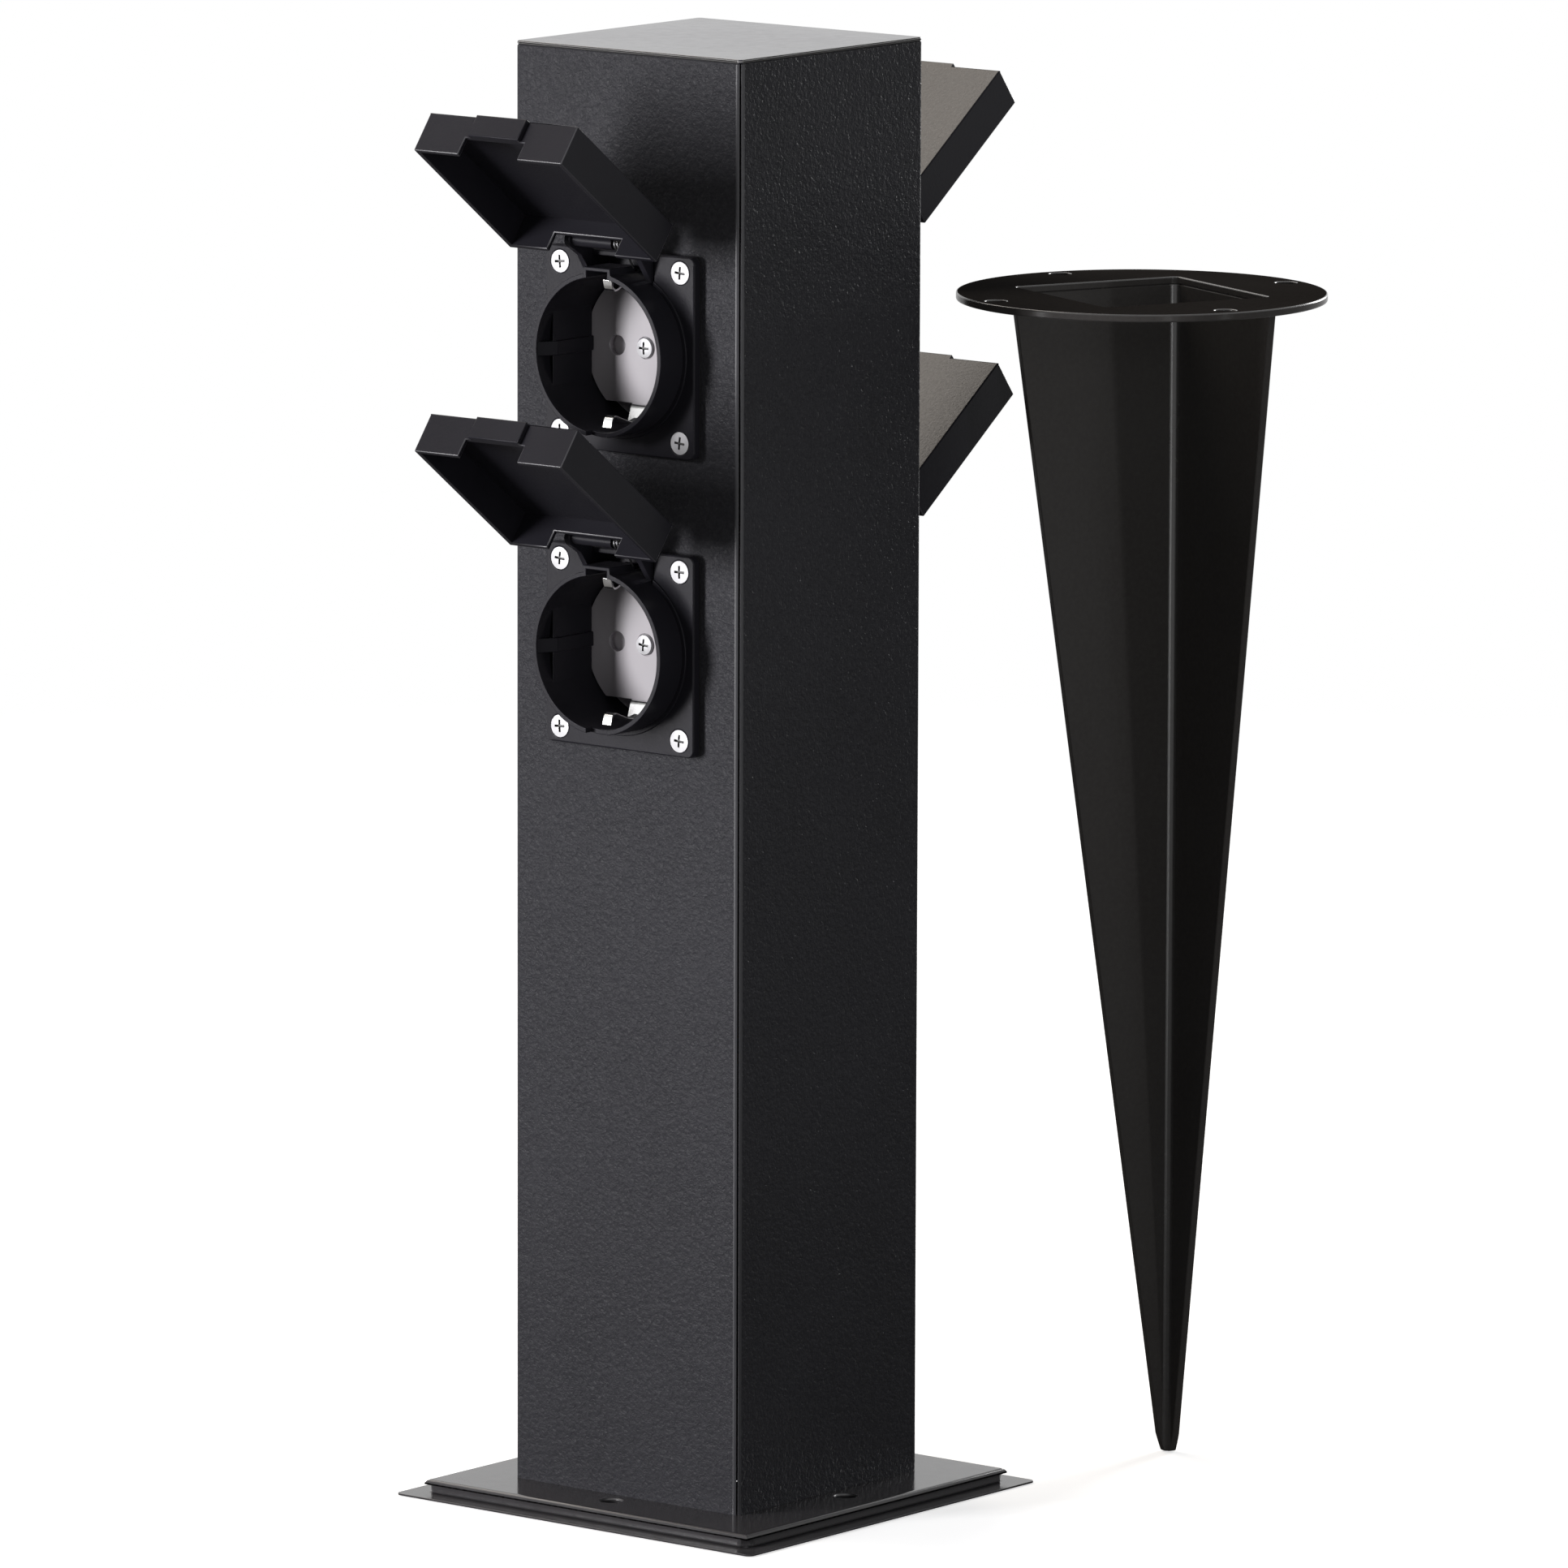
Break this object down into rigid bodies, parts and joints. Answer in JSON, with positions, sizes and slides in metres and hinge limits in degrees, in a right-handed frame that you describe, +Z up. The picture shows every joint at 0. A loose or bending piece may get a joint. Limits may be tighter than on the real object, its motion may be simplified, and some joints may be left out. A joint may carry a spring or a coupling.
{
  "type": "garden socket column",
  "caption": "Square black garden power column with hinged-lid earthed sockets on two faces, a bolted base plate and a separate ground spike.",
  "frame": {"origin": "on the column's axis at floor level, under the middle of the base plate", "axes": "+Z up along the column; -Y out of the front sockets, +Y out of the rear sockets; +X towards the side where the ground spike stands"},
  "size_m": [0.1839, 0.224, 0.3832],
  "materials": {
    "column_paint": "fine-textured satin powder coat",
    "base_paint": "gloss paint",
    "spike_paint": "satin paint",
    "black_plastic": "fine matt moulding",
    "insert_plastic": "satin moulding",
    "housing_plastic": "plain moulding",
    "gasket_rubber": "matt",
    "screw_steel": "bright zinc",
    "spring_steel": "bright wire",
    "contact_brass": "plain",
    "clip_steel": "nickel plated",
    "live_insulation": "smooth",
    "neutral_insulation": "smooth",
    "earth_insulation": "smooth, two colours",
    "block_plastic": "plain moulding"
  },
  "bodies": {
    "column": {"column_body": "column_paint", "top_cap": "column_paint", "base_pan": "base_paint", "base_plate": "base_paint", "spike_flange": "spike_paint", "spike_body": "spike_paint", "terminal_block": "block_plastic", "terminal_screws": "screw_steel", "live_wire": "live_insulation", "neutral_wire": "neutral_insulation", "earth_wire": "earth_insulation", "flange_screws": "screw_steel", "insert_screws": "screw_steel", "socket_frame_front_upper": "black_plastic", "flange_gasket_front_upper": "gasket_rubber", "insert_front_upper": "insert_plastic", "rear_housing_front_upper": "housing_plastic", "earth_clip_front_upper": "clip_steel", "contacts_front_upper": "contact_brass", "hinge_pin_front_upper": "screw_steel", "lid_spring_front_upper": "spring_steel", "socket_frame_front_lower": "black_plastic", "flange_gasket_front_lower": "gasket_rubber", "insert_front_lower": "insert_plastic", "rear_housing_front_lower": "housing_plastic", "earth_clip_front_lower": "clip_steel", "contacts_front_lower": "contact_brass", "hinge_pin_front_lower": "screw_steel", "lid_spring_front_lower": "spring_steel", "socket_frame_rear_upper": "black_plastic", "flange_gasket_rear_upper": "gasket_rubber", "insert_rear_upper": "insert_plastic", "rear_housing_rear_upper": "housing_plastic", "earth_clip_rear_upper": "clip_steel", "contacts_rear_upper": "contact_brass", "hinge_pin_rear_upper": "screw_steel", "lid_spring_rear_upper": "spring_steel", "socket_frame_rear_lower": "black_plastic", "flange_gasket_rear_lower": "gasket_rubber", "insert_rear_lower": "insert_plastic", "rear_housing_rear_lower": "housing_plastic", "earth_clip_rear_lower": "clip_steel", "contacts_rear_lower": "contact_brass", "hinge_pin_rear_lower": "screw_steel", "lid_spring_rear_lower": "spring_steel"},
    "lid_front_upper": {"lid_front_upper": "black_plastic"},
    "shutter_front_upper": {"shutter_front_upper": "insert_plastic"},
    "lid_front_lower": {"lid_front_lower": "black_plastic"},
    "shutter_front_lower": {"shutter_front_lower": "insert_plastic"},
    "lid_rear_upper": {"lid_rear_upper": "black_plastic"},
    "shutter_rear_upper": {"shutter_rear_upper": "insert_plastic"},
    "lid_rear_lower": {"lid_rear_lower": "black_plastic"},
    "shutter_rear_lower": {"shutter_rear_lower": "insert_plastic"}
  },
  "joints": [
    {"name": "lid_hinge_front_upper", "type": "hinge", "parent": "column", "child": "lid_front_upper", "pos_m": [0, -0.0477, 0.3345], "axis": [1, 0, 0], "range_deg": [0, 126.8], "stiffness_Nm_per_rad": 0.015, "springref_deg": 160.43, "deforming": ["lid_spring_front_upper"]},
    {"name": "shutter_turn_front_upper", "type": "hinge", "parent": "column", "child": "shutter_front_upper", "pos_m": [0, -0.02715, 0.3054], "axis": [0, -1, 0], "range_deg": [0, 38], "stiffness_Nm_per_rad": 0.002},
    {"name": "lid_hinge_front_lower", "type": "hinge", "parent": "column", "child": "lid_front_lower", "pos_m": [0, -0.0477, 0.2571], "axis": [1, 0, 0], "range_deg": [0, 126.8], "stiffness_Nm_per_rad": 0.015, "springref_deg": 160.43, "deforming": ["lid_spring_front_lower"]},
    {"name": "shutter_turn_front_lower", "type": "hinge", "parent": "column", "child": "shutter_front_lower", "pos_m": [0, -0.02715, 0.228], "axis": [0, -1, 0], "range_deg": [0, 38], "stiffness_Nm_per_rad": 0.002},
    {"name": "lid_hinge_rear_upper", "type": "hinge", "parent": "column", "child": "lid_rear_upper", "pos_m": [0, 0.0477, 0.3345], "axis": [-1, 0, 0], "range_deg": [0, 126.8], "stiffness_Nm_per_rad": 0.015, "springref_deg": 160.43, "deforming": ["lid_spring_rear_upper"]},
    {"name": "shutter_turn_rear_upper", "type": "hinge", "parent": "column", "child": "shutter_rear_upper", "pos_m": [0, 0.02715, 0.3054], "axis": [0, 1, 0], "range_deg": [0, 38], "stiffness_Nm_per_rad": 0.002},
    {"name": "lid_hinge_rear_lower", "type": "hinge", "parent": "column", "child": "lid_rear_lower", "pos_m": [0, 0.0477, 0.2571], "axis": [-1, 0, 0], "range_deg": [0, 126.8], "stiffness_Nm_per_rad": 0.015, "springref_deg": 160.43, "deforming": ["lid_spring_rear_lower"]},
    {"name": "shutter_turn_rear_lower", "type": "hinge", "parent": "column", "child": "shutter_rear_lower", "pos_m": [0, 0.02715, 0.228], "axis": [0, 1, 0], "range_deg": [0, 38], "stiffness_Nm_per_rad": 0.002}
  ]
}
